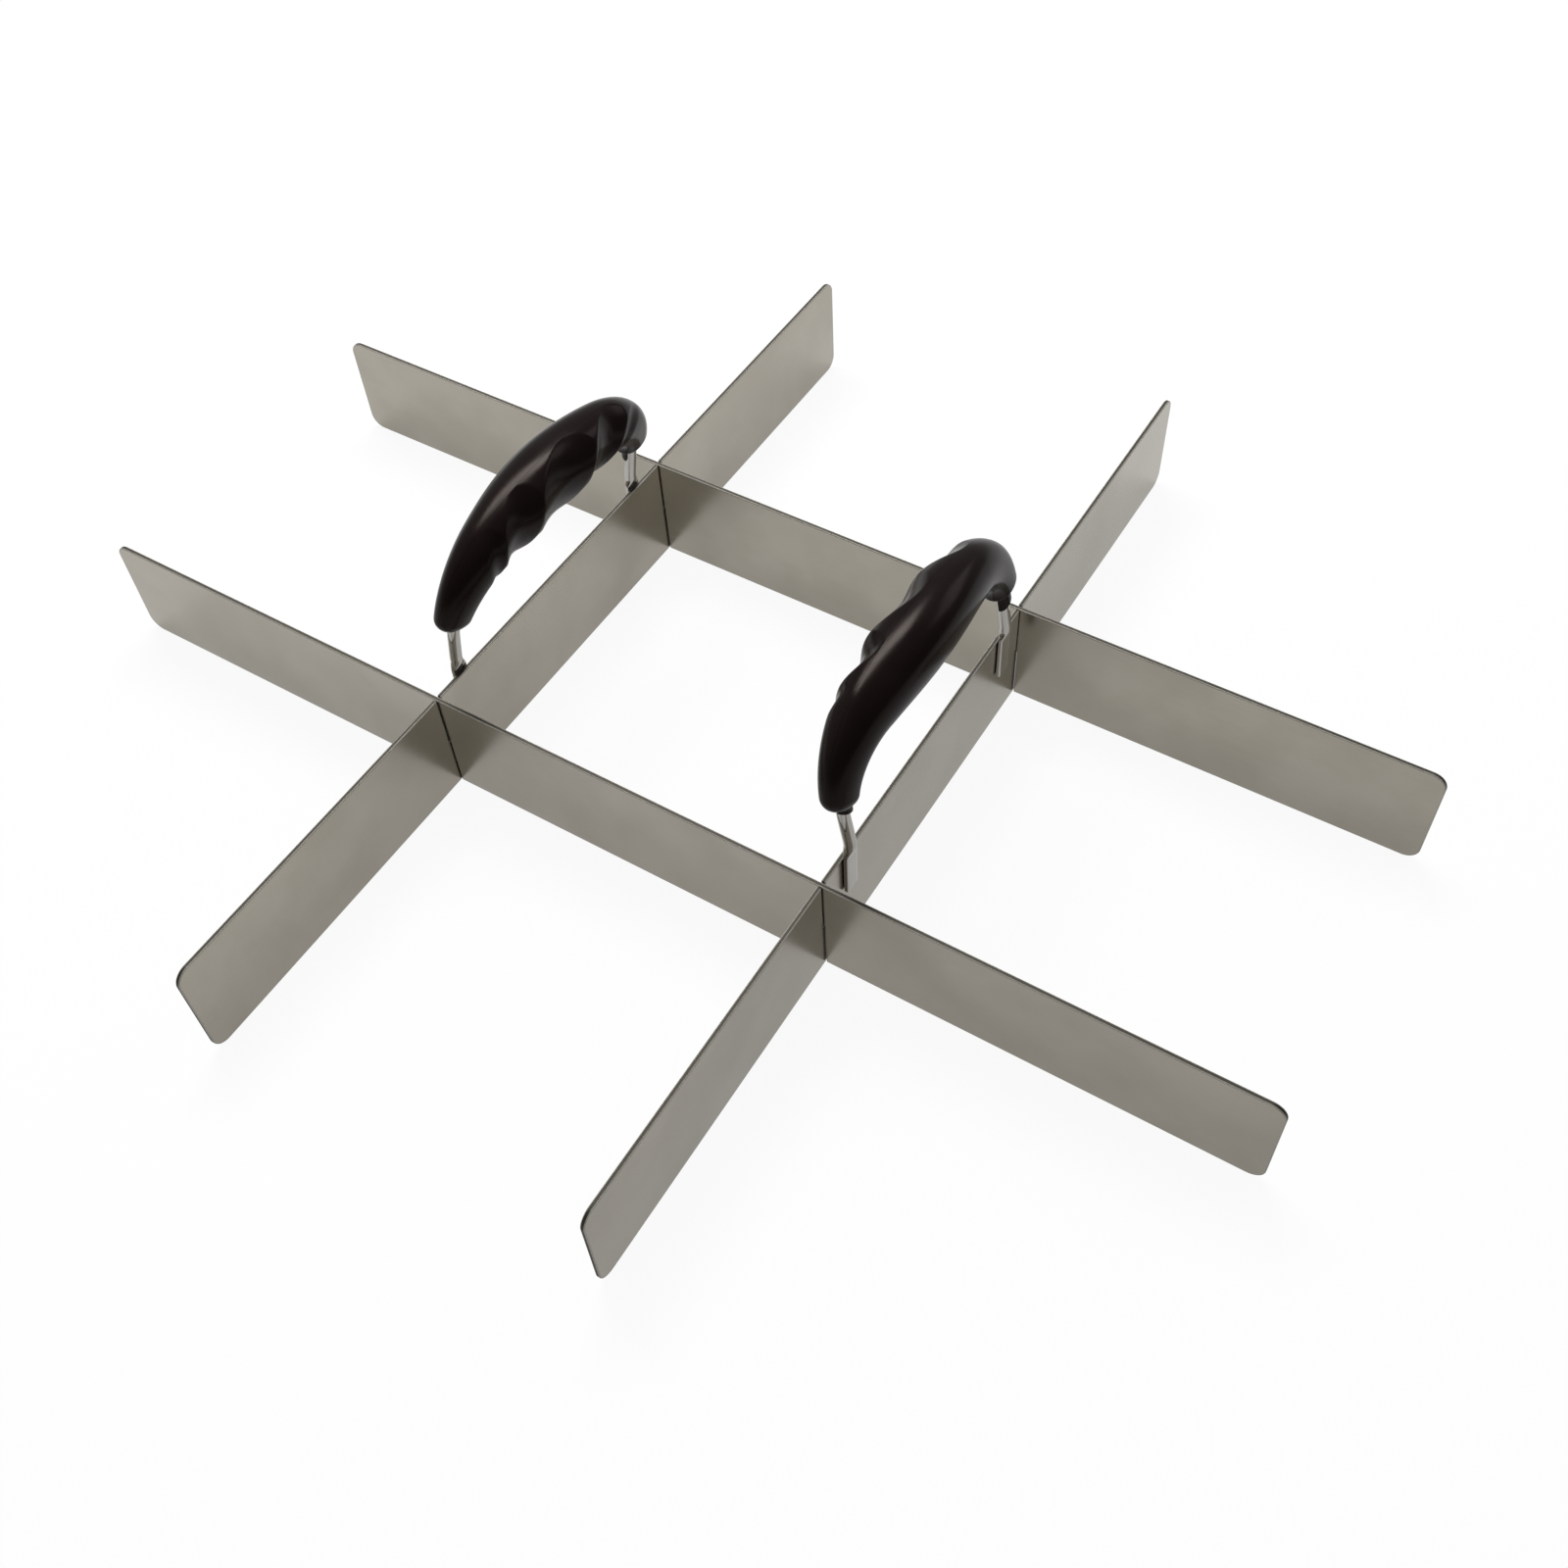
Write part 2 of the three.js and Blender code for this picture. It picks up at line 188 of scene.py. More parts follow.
class Wire:
    """One output of a node tree. Sums on it add Math nodes, and node() adds any other node."""

    def __init__(self, tree, socket=None):
        self.tree = tree
        self.socket = socket

    def node(self, kind, settings=None, sockets=None, output=0):
        """Adds a node: its settings first, then the values or links of its sockets."""
        made = self.tree.nodes.new(kind)
        for name, value in (settings or {}).items():
            setattr(made, name, value)
        for name, value in (sockets or {}).items():
            if isinstance(value, Wire):
                self.tree.links.new(value.socket, made.inputs[name])
            else:
                made.inputs[name].default_value = value
        return Wire(self.tree, made.outputs[output]) if made.outputs else None

    def math(self, operation, *others):
        return self.node("ShaderNodeMath", {"operation": operation}, dict(enumerate((self, *others))))

    def clamped(self, low, high):
        return self.math("MAXIMUM", low).math("MINIMUM", high)

    def step(self, low, high, to_low=0.0, to_high=1.0):
        """Eases from one value to another while this one goes from low to high."""
        sockets = dict(enumerate((self, low, high, to_low, to_high)))
        return self.node("ShaderNodeMapRange", {"interpolation_type": "SMOOTHSTEP"}, sockets)

    def mixed(self, first, second):
        """The first colour where this value is 0, and the second where it is 1."""
        return self.node("ShaderNodeMix", {"data_type": "RGBA"}, {0: self, 6: first, 7: second}, output=2)

    def mixed_vector(self, first, second):
        """The first vector where this value is 0, and the second where it is 1."""
        return self.node("ShaderNodeMix", {"data_type": "VECTOR"}, {0: self, 4: first, 5: second}, output=1)

    def part(self, axis):
        """This vector's X, Y or Z."""
        return self.node("ShaderNodeSeparateXYZ", sockets={"Vector": self}, output=axis)

    def noise(self, scale, detail):
        """Cloudy noise at this place."""
        return self.node("ShaderNodeTexNoise", sockets={"Vector": self, "Scale": scale, "Detail": detail})

    def bump(self, strength, distance):
        """The surface's direction, as if this value raised it by up to a distance."""
        return self.node("ShaderNodeBump", sockets={
            "Height": self, "Strength": strength, "Distance": distance})

    def __add__(self, other):
        return self.math("ADD", other)

    def __sub__(self, other):
        return self.math("SUBTRACT", other)

    def __rsub__(self, other):
        return self.math("MULTIPLY_ADD", -1.0, other)

    def __mul__(self, other):
        return self.math("MULTIPLY", other)

    def __truediv__(self, other):
        return self.math("DIVIDE", other)

    def __rtruediv__(self, other):
        return (self ** -1.0) * other

    def __pow__(self, other):
        return self.math("POWER", other)

    __radd__ = __add__
    __rmul__ = __mul__


# Sizes that follow from the frame and from the values above
def extent(node):
    low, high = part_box(node)
    return high - low, (high + low) / 2


cross_size, cross_middle = extent("cross_blade_rear")
handle_size, handle_middle = extent("handle_blade_right")
sheet = cross_size.y
blade_height = cross_size.z
channel_radius = ROD_RADIUS + CHANNEL_CLEARANCE
leg_span = cross_middle.y - LEG_INSET
crown_radius = SHOULDER_RADIUS + (leg_span - SHOULDER_RADIUS) / math.sin(CROWN_ANGLE)
crown_rise = (LEG_RISE + SHOULDER_RADIUS * math.cos(CROWN_ANGLE)
              + crown_radius * (1 - math.cos(CROWN_ANGLE)))
curved_length = crown_radius * CROWN_ANGLE + SHOULDER_RADIUS * (math.pi / 2 - CROWN_ANGLE)
bend_reach = BEND_RADIUS * math.tan(HANDLE_LEAN / 2)
bend_length = BEND_RADIUS * HANDLE_LEAN
half_rod_length = curved_length + LEG_RISE + bend_length - 2 * bend_reach + BEND_LIFT + FOOT_LENGTH
leg_offset = handle_middle.x + sheet / 2 + FOOT_GAP + FOOT_THICKNESS / 2


# Finishes
def new_material(name):
    """An empty material, a wire to add its nodes with and the place on the object."""
    made = bpy.data.materials.new(name)
    made.use_nodes = True
    made.node_tree.nodes.clear()
    wire = Wire(made.node_tree)
    return made, wire, wire.node("ShaderNodeTexCoord", output="Object")


def coat(wire, sockets):
    """Ends a material with a plain surface of the given colour, gloss and so on."""
    shader = wire.node("ShaderNodeBsdfPrincipled", sockets=sockets)
    wire.node("ShaderNodeOutputMaterial", sockets={"Surface": shader})


def marked_metal(name, marks_in_a_metre, mark_detail, tones, metallic, roughness, mark_roughness):
    """A metal whose tone and roughness both go up with its marks."""
    made, wire, place = new_material(name)
    marks = place.noise(marks_in_a_metre, mark_detail)
    coat(wire, {
        "Base Color": marks.mixed(*tones),
        "Metallic": metallic,
        "Roughness": roughness + marks * mark_roughness,
    })
    return made


def satin_steel(name, along):
    """Rolled strip: a soft sheen with faint lines along the strip and cloudy marks from handling."""
    made, wire, place = new_material(name)
    stretch = [STRIP_LINES_ACROSS] * 3
    stretch[along] = STRIP_LINES_ALONG
    drawn = wire.node("ShaderNodeMapping", sockets={"Vector": place, "Scale": stretch})
    lines = drawn.noise(scale=1.0, detail=3.0)
    cloud = place.noise(STRIP_CLOUDS, detail=5.0)
    tone = cloud.step(*STRIP_CLOUD_EDGES) * STRIP_CLOUD_SHARE + lines * STRIP_LINE_SHARE
    coat(wire, {
        "Base Color": tone.mixed(*STRIP_TONES),
        "Metallic": 1.0,
        "Roughness": STRIP_ROUGHNESS + cloud * STRIP_CLOUD_ROUGHNESS + lines * STRIP_LINE_ROUGHNESS,
        "Normal": lines.bump(STRIP_LINE_STRENGTH, STRIP_LINE_DEPTH),
    })
    return made


def painted_dark_cut_edge():
    """The strip's cut edges: dull, with small marks from the cut, and much darker than the faces, which is
    painted shade.
    """
    return marked_metal("painted_dark_cut_edge", marks_in_a_metre=700.0, mark_detail=3.0, tones=CUT_EDGE_PAINTED_SHADE_TONES,
                        metallic=1.0, roughness=0.55, mark_roughness=0.15)


def rubbed_arris():
    """The strip's corners, rubbed round: fine scratches that scatter the light."""
    return marked_metal("rubbed_arris", marks_in_a_metre=500.0, mark_detail=4.0, tones=ARRIS_TONES,
                        metallic=0.3, roughness=0.5, mark_roughness=0.2)


def polished_steel():
    """The bent rods: bright, with a little haze."""
    return marked_metal("polished_steel", marks_in_a_metre=160.0, mark_detail=4.0, tones=ROD_TONES,
                        metallic=1.0, roughness=0.05, mark_roughness=0.07)


def black_plastic():
    """The grips: near-black with a brown cast, glossy over a very fine moulded texture."""
    made, wire, place = new_material("black_plastic")
    grain = place.noise(PLASTIC_GRAINS, detail=2.0)
    wear = place.noise(PLASTIC_WEAR_MARKS, detail=5.0)
    coat(wire, {
        "Base Color": wear.mixed(*PLASTIC_TONES),
        "Roughness": PLASTIC_ROUGHNESS + wear.step(*PLASTIC_WEAR_EDGES) * PLASTIC_WEAR_ROUGHNESS,
        "Specular IOR Level": PLASTIC_GLOSS,
        "Specular Tint": PLASTIC_GLOSS_TINT,
        "Normal": grain.bump(PLASTIC_GRAIN_STRENGTH, PLASTIC_GRAIN_DEPTH),
    })
    return made


# Blades
def blade_outline(length, slot_spacing, slots_open_at_top):
    """The strip's outline along X and up Z, with round corners and a half-height slot at two places."""
    end = length / 2 - CORNER_RADIUS
    slot_half = sheet / 2 + SLOT_SIDE_CLEARANCE
    slot_depth = (blade_height + SLOT_END_CLEARANCE) / 2
    outline = []

    def corner(x, z, start):
        for step in range(CORNER_STEPS + 1):
            turn = start + step / CORNER_STEPS * math.pi / 2
            outline.append((x + CORNER_RADIUS * math.cos(turn), z + CORNER_RADIUS * math.sin(turn)))

    def slots(direction, edge, floor):
        for middle in (-direction * slot_spacing / 2, direction * slot_spacing / 2):
            for side, height in ((-1, edge), (-1, floor), (1, floor), (1, edge)):
                outline.append((middle + side * direction * slot_half, height))

    if not slots_open_at_top:
        slots(1, 0, slot_depth)
    corner(end, CORNER_RADIUS, -math.pi / 2)
    corner(end, blade_height - CORNER_RADIUS, 0)
    if slots_open_at_top:
        slots(-1, blade_height, blade_height - slot_depth)
    corner(-end, blade_height - CORNER_RADIUS, math.pi / 2)
    corner(-end, CORNER_RADIUS, math.pi)
    return outline


def plain_mesh(piece):
    """Turns what a piece's modifiers make of it into its own mesh."""
    graph = bpy.context.evaluated_depsgraph_get()
    made = bpy.data.meshes.new_from_object(piece.evaluated_get(graph), depsgraph=graph)
    piece.modifiers.clear()
    piece.data = made
    made.name = piece.name


def new_piece(name):
    piece = bpy.data.objects.new(name, bpy.data.meshes.new(name))
    bpy.context.scene.collection.objects.link(piece)
    return piece


def blade(name, outline, place, face_finish, edge_finish, arris_finish):
    """A strip cut to an outline, satin on its faces, dull and painted dark with shade where it was cut, and
    rubbed on its corners.
    """
    piece = new_piece(name)
    form = bmesh.new()
    front = form.faces.new([form.verts.new((x, -sheet / 2, z)) for x, z in outline])
    swept = bmesh.ops.extrude_face_region(form, geom=[front])["geom"]
    far_corners = [item for item in swept if isinstance(item, bmesh.types.BMVert)]
    bmesh.ops.translate(form, verts=far_corners, vec=(0, sheet, 0))
    bmesh.ops.recalc_face_normals(form, faces=form.faces)
    form.to_mesh(piece.data)
    form.free()
    arris = piece.modifiers.new("arris", "BEVEL")
    arris.width = ARRIS_WIDTH
    arris.segments = ARRIS_STEPS
    arris.limit_method = "ANGLE"
    arris.angle_limit = ARRIS_ANGLE
    plain_mesh(piece)
    for finish in (face_finish, edge_finish, arris_finish):
        piece.data.materials.append(finish)
    for face in piece.data.polygons:
        towards_face = abs(face.normal.y)
        if towards_face > FACE_COSINE:
            finish = face_finish
        elif towards_face < CUT_COSINE:
            finish = edge_finish
        else:
            finish = arris_finish
        face.material_index = piece.data.materials.find(finish.name)
        face.use_smooth = False
    piece.data.transform(place)
    return piece


# Geometry trees
def geometry_tree(name, sizes):
    """A geometry tree with a named input for each size. Gives the tree and wires from its inputs."""
    tree = bpy.data.node_groups.new(name, "GeometryNodeTree")
    tree.interface.new_socket("Geometry", in_out="OUTPUT", socket_type="NodeSocketGeometry")
    for label, value in sizes.items():
        kind = "NodeSocketVector" if isinstance(value, tuple) else "NodeSocketFloat"
        tree.interface.new_socket(label, in_out="INPUT", socket_type=kind)
    source = tree.nodes.new("NodeGroupInput")
    return tree, {label: Wire(tree, source.outputs[label]) for label in sizes}


def grown(name, tree, sizes):
    """A piece that a geometry tree makes at the given sizes, as a plain closed mesh."""
    piece = new_piece(name)
    growth = piece.modifiers.new("growth", "NODES")
    growth.node_group = tree
    for socket in tree.interface.items_tree:
        if socket.in_out == "INPUT":
            growth[socket.identifier] = sizes[socket.name]
    plain_mesh(piece)
    form = bmesh.new()
    form.from_mesh(piece.data)
    bmesh.ops.recalc_face_normals(form, faces=form.faces)
    form.to_mesh(piece.data)
    form.free()
    return piece


bow_sizes = {
    "Crown radius": crown_radius,
    "Crown angle": CROWN_ANGLE,
    "Crown rise": crown_rise,
    "Shoulder radius": SHOULDER_RADIUS,
    "Leg length": LEG_RISE - bend_reach,
    "Bend radius": BEND_RADIUS,
    "Lean": HANDLE_LEAN,
    "Leg offset": leg_offset,
    "Bend height": blade_height + BEND_LIFT,
}


def bow_place(along, size):
    """The rod's centre line at a length along it from the crown, as X, Y, Z and the turn of its section.

    A crown arc, a tighter shoulder, a straight leg in the bow's plane, a slight bend and an upright foot.
    """
    distance = along.math("ABSOLUTE")
    side = along.math("SIGN")
    crown_length = size["Crown radius"] * size["Crown angle"]
    shoulder_angle = math.pi / 2 - size["Crown angle"]
    crown_turn = (distance / size["Crown radius"]).math("MINIMUM", size["Crown angle"])
    shoulder_turn = ((distance - crown_length) / size["Shoulder radius"]).clamped(0.0, shoulder_angle)
    turn = crown_turn + shoulder_turn
    crown_share = size["Crown radius"] - size["Shoulder radius"]
    across = crown_share * crown_turn.math("SINE") + size["Shoulder radius"] * turn.math("SINE")
    drop = (crown_share * (1 - crown_turn.math("COSINE"))
            + size["Shoulder radius"] * (1 - turn.math("COSINE")))
    down = (distance - crown_length - size["Shoulder radius"] * shoulder_angle).math("MAXIMUM", 0.0)
    below_leg = down - size["Leg length"]
    swing = (below_leg / size["Bend radius"]).clamped(0.0, size["Lean"])
    foot = (below_leg - size["Bend radius"] * size["Lean"]).math("MAXIMUM", 0.0)
    inwards = size["Bend radius"] * (1 - swing.math("COSINE")) + foot * size["Lean"].math("SINE")
    lowered = (down.math("MINIMUM", size["Leg length"]) + size["Bend radius"] * swing.math("SINE")
               + foot * size["Lean"].math("COSINE"))
    return inwards * -1.0, across * side, size["Crown rise"] - drop - lowered, turn * side


def vector(x, y, z):
    return x.node("ShaderNodeCombineXYZ", sockets={"X": x, "Y": y, "Z": z})


def stood_up(mesh, size):
    """Leans the bow over and sets it on its blade's outer face."""
    turn = mesh.node("ShaderNodeCombineXYZ", sockets={"Y": size["Lean"] * -1.0})
    shift = mesh.node("ShaderNodeCombineXYZ", sockets={"X": size["Leg offset"], "Z": size["Bend height"]})
    return mesh.node("GeometryNodeTransform", sockets={
        "Geometry": mesh, "Translation": shift, "Rotation": turn})


def finish_tree(mesh, finish):
    """Ends a tree: smooth but for its sharp edges, in one finish."""
    soft = mesh.node("GeometryNodeInputMeshEdgeAngle").math("LESS_THAN", SHARP_ANGLE)
    shaded = mesh
    for domain, is_smooth in (("FACE", True), ("EDGE", soft)):
        shaded = mesh.node("GeometryNodeSetShadeSmooth", {"domain": domain}, {
            "Geometry": shaded, "Shade Smooth": is_smooth})
    whole = mesh.node("GeometryNodeRealizeInstances", sockets={"Geometry": shaded})
    done = mesh.node("GeometryNodeSetMaterial", sockets={"Geometry": whole, "Material": finish})
    mesh.node("NodeGroupOutput", sockets={"Geometry": done})


rod_sizes = {
    **bow_sizes,
    "Half length": half_rod_length,
    "Rod radius": ROD_RADIUS,
    "Leg span": leg_span,
    "Foot top": blade_height + BEND_LIFT - bend_reach,
    "Foot press length": FOOT_PRESS_LENGTH,
    "Foot width": FOOT_WIDTH,
    "Foot thickness": FOOT_THICKNESS,
}


def squared(value, power):
    """A sine or cosine pushed outwards, so that a section is squarer than an ellipse."""
    return value.math("SIGN") * value.math("ABSOLUTE") ** (2 / power)


def rod_tree(finish):
    """A bar along the bow, round but for its feet, which are pressed flat to lie on the blade."""
    tree, size = geometry_tree("bent rod", rod_sizes)
    wire = Wire(tree)
    line = wire.node("GeometryNodeMeshLine", sockets={"Count": ROD_RINGS})
    share = wire.node("GeometryNodeInputIndex") / (ROD_RINGS - 1.0)
    centre = vector(*bow_place((share * 2.0 - 1.0) * size["Half length"], size)[:3])
    bent = wire.node("GeometryNodeSetPosition", sockets={"Geometry": line, "Position": centre})
    path = wire.node("GeometryNodeMeshToCurve", sockets={"Mesh": bent})
    section = wire.node("GeometryNodeCurvePrimitiveCircle", sockets={
        "Resolution": ROD_SIDES, "Radius": size["Rod radius"]})
    bar = wire.node("GeometryNodeCurveToMesh", sockets={
        "Curve": path, "Profile Curve": section, "Fill Caps": True})
    stood = stood_up(bar, size)
    place = wire.node("GeometryNodeInputPosition")
    x, y, z = place.part("X"), place.part("Y"), place.part("Z")
    into_foot = (size["Foot top"] - z) / size["Foot press length"]
    pressed = into_foot.step(0.0, 1.0)
    power = ROUND_POWER + pressed * (FOOT_POWER - ROUND_POWER)
    radius = size["Rod radius"]
    half_thickness = radius + (size["Foot thickness"] / 2.0 - radius) * pressed
    half_width = radius + (size["Foot width"] / 2.0 - radius) * pressed
    out = squared((x - size["Leg offset"]) / radius, power) * half_thickness
    aside = squared((y.math("ABSOLUTE") - size["Leg span"]) / radius, power) * half_width
    flat = vector(size["Leg offset"] + out, (size["Leg span"] + aside) * y.math("SIGN"), z)
    footed = wire.node("GeometryNodeSetPosition", sockets={
        "Geometry": stood, "Selection": into_foot.math("GREATER_THAN", 0.0), "Position": flat})
    finish_tree(footed, finish)
    return tree


def grip_sizes(first_angle, side_reach, side, hand):
    """The sizes of one grip shell. Its skin starts at an angle round the rod from the palm side.

    Only a palm shell goes on past the grip's ends, as a half collar behind the rod.
    """
    is_palm = side > 0
    return {
        **bow_sizes,
        "Grip end": curved_length - GRIP_INSET,
        "Front cap": FRONT_CAP_LENGTH,
        "Rear cap": REAR_CAP_LENGTH,
        "Front neck": FRONT_NECK_LENGTH if is_palm else 0.0,
        "Rear neck": REAR_NECK_LENGTH if is_palm else 0.0,
        "Channel radius": channel_radius,
        "Neck radius": channel_radius + NECK_WALL,
        "Side": side,
        "Hand": hand,
        "First angle": first_angle,
        "Side reach": side_reach,
        "Front back reach": FRONT_BACK_REACH,
        "Rear back reach": REAR_BACK_REACH,
        "Front belly reach": FRONT_BELLY_REACH,
        "Rear belly reach": REAR_BELLY_REACH,
        "Middle rest": MIDDLE_REST_WIDTH,
        "Side rest": SIDE_REST_WIDTH,
        "Rest depth": REST_DEPTH,
    }


def eased(reach, square):
    """A smooth reach through three values: in the middle, half way out and at the end.

    The slope takes it through the half-way value, where the square of the way out is a quarter.
    """
    middle, halfway, end = (reach.part(axis) for axis in "XYZ")
    slope = ((halfway - middle) * 16.0 - (end - middle)) / 3.0
    return middle + (slope + (end - middle - slope) * square) * square


def rest_depth(along, degrees, size):
    """Finger rests: bowls side by side, slanted round the grip, which end soon past the last ridge."""
    away = degrees - float(REST_DEEPEST)
    distance = (along - REST_SHIFT - away * REST_SLANT).math("ABSOLUTE")
    side_rests = (distance - size["Middle rest"] / 2.0) / size["Side rest"]
    rests = (distance / size["Middle rest"]).math("MAXIMUM", side_rests + 0.5)
    towards_rim = (away / -UPPER_REST_SPREAD).math("MAXIMUM", away / LOWER_REST_SPREAD)
    wave = (rests * math.pi).math("COSINE")
    hollow = (wave * wave + RIDGE_BLEND ** 2).math("SQRT") - towards_rim * towards_rim
    bowl = hollow.math("SMOOTH_MAX", 0.0, REST_RIM_BLEND)
    return size["Rest depth"] * bowl * side_rests.step(1.0, REST_FADE, 1.0, 0.0)


def grip_tree(sizes, finish):
    """One shell of a grip: a closed section that follows the bow from neck to neck.

    A section goes round the skin, in over the parting face, back round the rod's channel and out again.
    """
    tree, size = geometry_tree("grip shell", sizes)
    wire = Wire(tree)
    loop = 2 * SKIN_POINTS + 2
    grid = wire.node("GeometryNodeMeshGrid", sockets={"Vertices X": GRIP_RINGS, "Vertices Y": loop + 1})
    at = wire.node("GeometryNodeInputPosition")
    row = at.part("X")
    column = at.part("Y") * float(loop) + loop / 2

    round_skin = (column / SKIN_POINTS).clamped(0.0, 1.0)
    round_channel = ((column - SKIN_POINTS - 1.0) / SKIN_POINTS).clamped(0.0, 1.0)
    inwards = (column - float(SKIN_POINTS)).clamped(0.0, 1.0) - (column - (loop - 1.0)).clamped(0.0, 1.0)
    angle = size["First angle"] + (round_skin - round_channel) * math.pi
    degrees = (angle * math.degrees(1)).math("FLOORED_MODULO", 360.0)
    cosine, sine = angle.math("COSINE"), angle.math("SINE")

    rear = (row * size["Hand"]).math("GREATER_THAN", 0.0)

    def at_end(name):
        return rear.mixed_vector(size[f"Front {name}"], size[f"Rear {name}"])

    half_length = size["Grip end"] + rear * size["Rear neck"] + (1 - rear) * size["Front neck"]
    cap_length = rear * size["Rear cap"] + (1 - rear) * size["Front cap"]
    along = (row * math.pi).math("SINE") * half_length
    distance = along.math("ABSOLUTE")
    into_neck = (distance - size["Grip end"]).math("MAXIMUM", 0.0)
    neck_loss = into_neck * ((1 - NECK_BACK_SHARE) / 2) * (sine + 1.0)
    x, y, z, turn = bow_place(along - along.math("SIGN") * neck_loss, size)
    share = (distance / size["Grip end"]).math("MINIMUM", 1.0)
    into_cap = ((distance - size["Grip end"]) / cap_length + 1.0).clamped(0.0, 1.0)
    rounding = (1 - into_cap * into_cap).math("SQRT")

    def reach(values):
        full = eased(values, share * share) * rounding
        return full.math("SMOOTH_MAX", size["Neck radius"], NECK_BLEND)

    over = sine.math("GREATER_THAN", 0.0)
    across = squared(cosine, SECTION_POWER) * reach(size["Side reach"])
    upright_reach = over * reach(at_end("back reach")) + (1 - over) * reach(at_end("belly reach"))
    above = squared(sine, SECTION_POWER) * upright_reach
    radius = (across * across + above * above).math("SQRT")
    rest = rest_depth(along * size["Hand"], degrees, size) * rounding
    scale = (radius - rest).math("MAXIMUM", size["Neck radius"]) / radius

    lip = 1 - ((half_length - distance) / LIP_LENGTH).clamped(0.0, 1.0)
    outside = (1 - inwards) * (1 - lip * lip).math("SQRT")
    channel_out = cosine * size["Channel radius"]
    channel_up = sine * size["Channel radius"]
    out = channel_out + (across * scale - channel_out) * outside
    up = channel_up + (above * scale - channel_up) * outside
    parted = (out * size["Side"]).math("MAXIMUM", PARTING_GAP / 2) * size["Side"]
    place = vector(x + parted, y + up * turn.math("SINE"), z + up * turn.math("COSINE"))

    skin = wire.node("GeometryNodeSetPosition", sockets={"Geometry": grid, "Position": place})
    closed = wire.node("GeometryNodeMergeByDistance", sockets={
        "Geometry": skin, "Distance": MERGE_DISTANCE})
    finish_tree(stood_up(closed, size), finish)
    return tree


# The object
cross_steel = satin_steel("satin_steel_cross", along=0)
handle_steel = satin_steel("satin_steel_handle", along=1)
edge = painted_dark_cut_edge()
arris = rubbed_arris()
bright = polished_steel()
black = black_plastic()

cross_outline = blade_outline(cross_size.x, 2 * handle_middle.x, False)
for place, side, body in (("front", -1, "front_cross_blade"), ("rear", 1, "rear_cross_blade")):
    spot = Matrix.Translation((0, side * cross_middle.y, 0))
    strip = blade(f"{place}_cross_strip", cross_outline, spot, cross_steel, edge, arris)
    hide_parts(f"cross_blade_{place}")
    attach(strip, body)

handle_outline = blade_outline(handle_size.y, 2 * cross_middle.y, True)
rod_growth = rod_tree(bright)
palm_shape = (-math.pi / 2, PALM_REACH, 1.0)
finger_shape = (math.pi / 2, FINGER_REACH, -1.0)
shell_growth = grip_tree(grip_sizes(*palm_shape, hand=1.0), black)
for place, turn, hand in (("right", 0, 1.0), ("left", math.pi, -1.0)):
    round_middle = Matrix.Rotation(turn, 4, "Z")
    along_y = Matrix.Rotation(math.pi / 2, 4, "Z")
    spot = round_middle @ Matrix.Translation((handle_middle.x, 0, 0)) @ along_y
    strip = blade(f"{place}_handle_strip", handle_outline, spot, handle_steel, edge, arris)
    rod = grown(f"{place}_bent_rod", rod_growth, rod_sizes)
    palm = grown(f"{place}_palm_moulding", shell_growth, grip_sizes(*palm_shape, hand))
    finger = grown(f"{place}_finger_moulding", shell_growth, grip_sizes(*finger_shape, hand))
    for piece in (rod, palm, finger):
        piece.data.transform(round_middle)
    for piece, finish_slot, node in (
            (strip, "satin_steel", f"handle_blade_{place}"),
            (rod, "polished_steel", f"{place}_handle_rod"),
            (palm, "black_plastic", f"{place}_palm_shell"),
            (finger, "black_plastic", f"{place}_finger_shell")):
        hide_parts(node)
        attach(piece, "handle_frame")


# Stage
def towards(azimuth, elevation):
    flat = math.cos(elevation)
    return Vector((math.cos(azimuth) * flat, math.sin(azimuth) * flat, math.sin(elevation)))


def ray_kinds(wire):
    """Wires that are 1 for what the camera sees and 1 for what shows in a glossy surface, and else 0."""
    return [wire.node("ShaderNodeLightPath", output=kind) for kind in ("Is Camera Ray", "Is Glossy Ray")]


def length_along(place, direction):
    return place.node("ShaderNodeVectorMath", {"operation": "DOT_PRODUCT"},
                      {0: place, 1: direction}, output="Value")


def pale_floor():
    """White paper with a faint shadow. Its glow in reflections is painted light that fades from the back
    left to the front right.
    """
    made, wire, place = new_material("pale_floor")
    seen, glossy = ray_kinds(wire)
    # Painted light: the glow that shows in reflections dims from the back left to the front right
    faded = length_along(place, FLOOR_FADE_WAY).step(-FLOOR_FADE_REACH, FLOOR_FADE_REACH, 1.0, FLOOR_FADED)
    paper = wire.node("ShaderNodeBsdfDiffuse", sockets={"Color": FLOOR_TONE})
    glow = wire.node("ShaderNodeEmission", sockets={"Strength": seen + (1 - seen) * faded})
    glow_share = seen * FLOOR_SEEN_GLOW + glossy * FLOOR_GLOSS_GLOW
    mixed = wire.node("ShaderNodeMixShader", sockets={0: glow_share, 1: paper, 2: glow})
    wire.node("ShaderNodeOutputMaterial", sockets={"Surface": mixed})
    return made


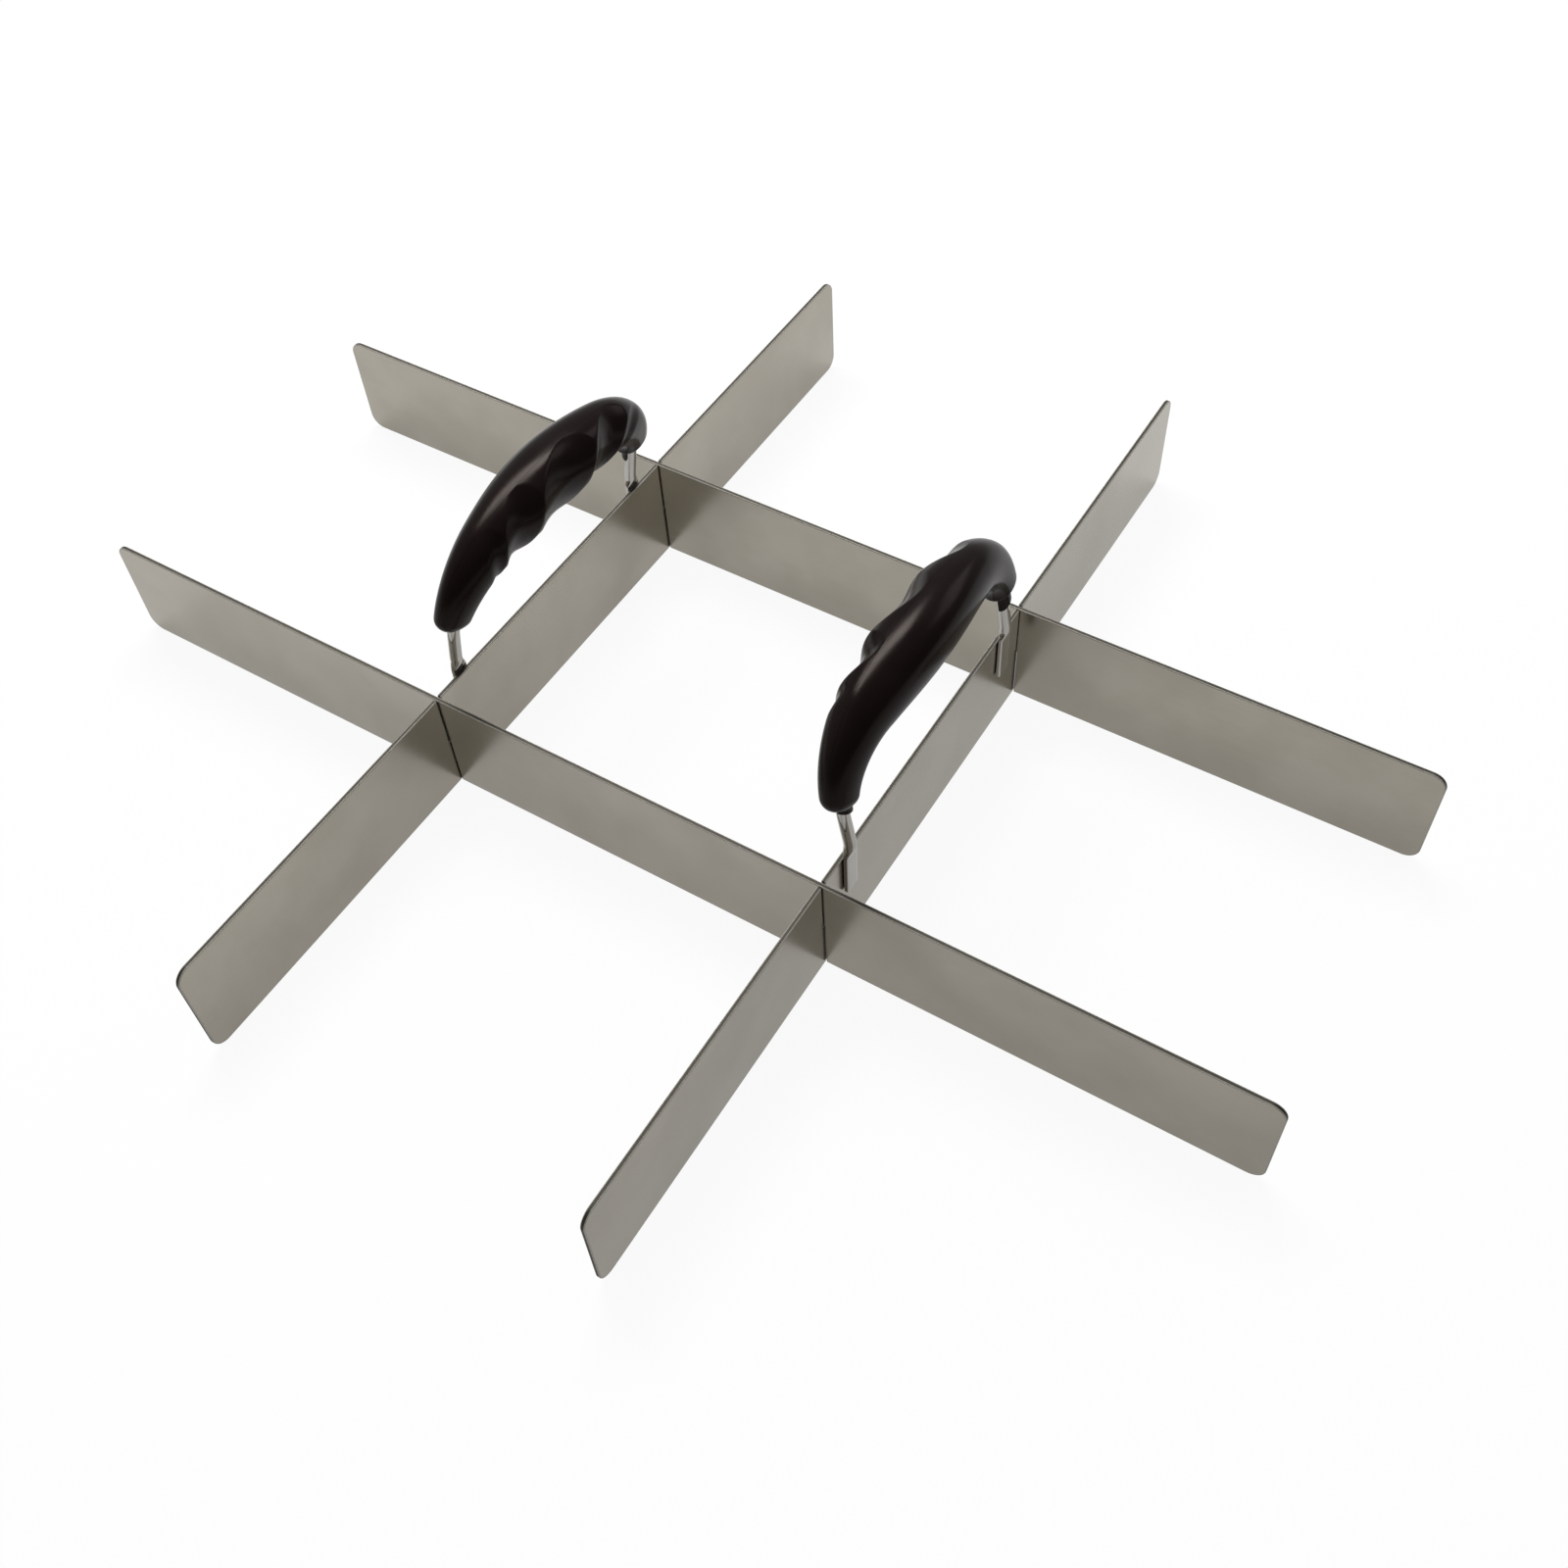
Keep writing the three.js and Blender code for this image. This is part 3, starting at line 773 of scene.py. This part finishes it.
def studio_world():
    """Even light on the object, a white view, and in the gloss a room that is bright at the back left."""
    world = bpy.data.worlds.new("studio")
    world.use_nodes = True
    world.node_tree.nodes.clear()
    wire = Wire(world.node_tree)
    way = wire.node("ShaderNodeTexCoord", output="Generated")
    seen, glossy = ray_kinds(wire)
    facing = length_along(way, tuple(towards(BRIGHT_WALL_AZIMUTH, 0)))
    wall = facing.step(*BRIGHT_WALL_EDGES, 0.0, BRIGHT_WALL_LIGHT)
    room = DARK_ROOM_LIGHT + wall * way.part("Z").step(*CEILING_EDGES, 1.0, CEILING_SHARE)
    even = EVEN_LIGHT + (room - EVEN_LIGHT) * glossy
    light = wire.node("ShaderNodeBackground", sockets={
        "Color": (1, 1, 1, 1), "Strength": even + (1 - even) * seen})
    wire.node("ShaderNodeOutputWorld", sockets={"Surface": light})
    return world


floor_mesh = bpy.data.meshes.new("floor")
floor_signs = ((-1, -1), (1, -1), (1, 1), (-1, 1))
floor_corners = [(x * FLOOR_HALF, y * FLOOR_HALF, -FLOOR_DROP) for x, y in floor_signs]
floor_mesh.from_pydata(floor_corners, [], [(0, 1, 2, 3)])
floor_mesh.materials.append(pale_floor())
floor = bpy.data.objects.new("floor", floor_mesh)
bpy.context.scene.collection.objects.link(floor)

bpy.context.scene.world = studio_world()

for name, angles, size, power in (
        ("key", KEY_LAMP_WAY, KEY_LAMP_SIZE, KEY_LAMP_POWER),
        ("rim", RIM_LAMP_WAY, RIM_LAMP_SIZE, RIM_LAMP_POWER)):
    panel = bpy.data.lights.new(name, "AREA")
    panel.shape = "RECTANGLE"
    panel.size, panel.size_y = size
    panel.energy = power
    lamp = bpy.data.objects.new(name, panel)
    way = towards(*angles)
    lamp.location = way * LAMP_DISTANCE
    lamp.rotation_euler = way.to_track_quat("Z", "Y").to_euler()
    bpy.context.scene.collection.objects.link(lamp)

camera_data = bpy.data.cameras.new("camera")
camera_data.sensor_width = SENSOR_WIDTH
camera_data.lens = SENSOR_WIDTH * FOCAL_PIXELS / FRAME_PIXELS
camera_data.clip_start = NEAREST_SEEN
camera = bpy.data.objects.new("camera", camera_data)
back = towards(CAMERA_AZIMUTH - math.pi / 2, CAMERA_ELEVATION)
level = Vector((0, 0, 1)).cross(back).normalized()
raised = back.cross(level)
right = level * math.cos(CAMERA_ROLL) + raised * math.sin(CAMERA_ROLL)
upward = raised * math.cos(CAMERA_ROLL) - level * math.sin(CAMERA_ROLL)
camera.matrix_world = Matrix.Translation(CAMERA_TARGET + back * CAMERA_DISTANCE) @ Matrix(
    (right, upward, back)).transposed().to_4x4()
bpy.context.scene.collection.objects.link(camera)
bpy.context.scene.camera = camera
bpy.context.scene.view_settings.view_transform = "Standard"
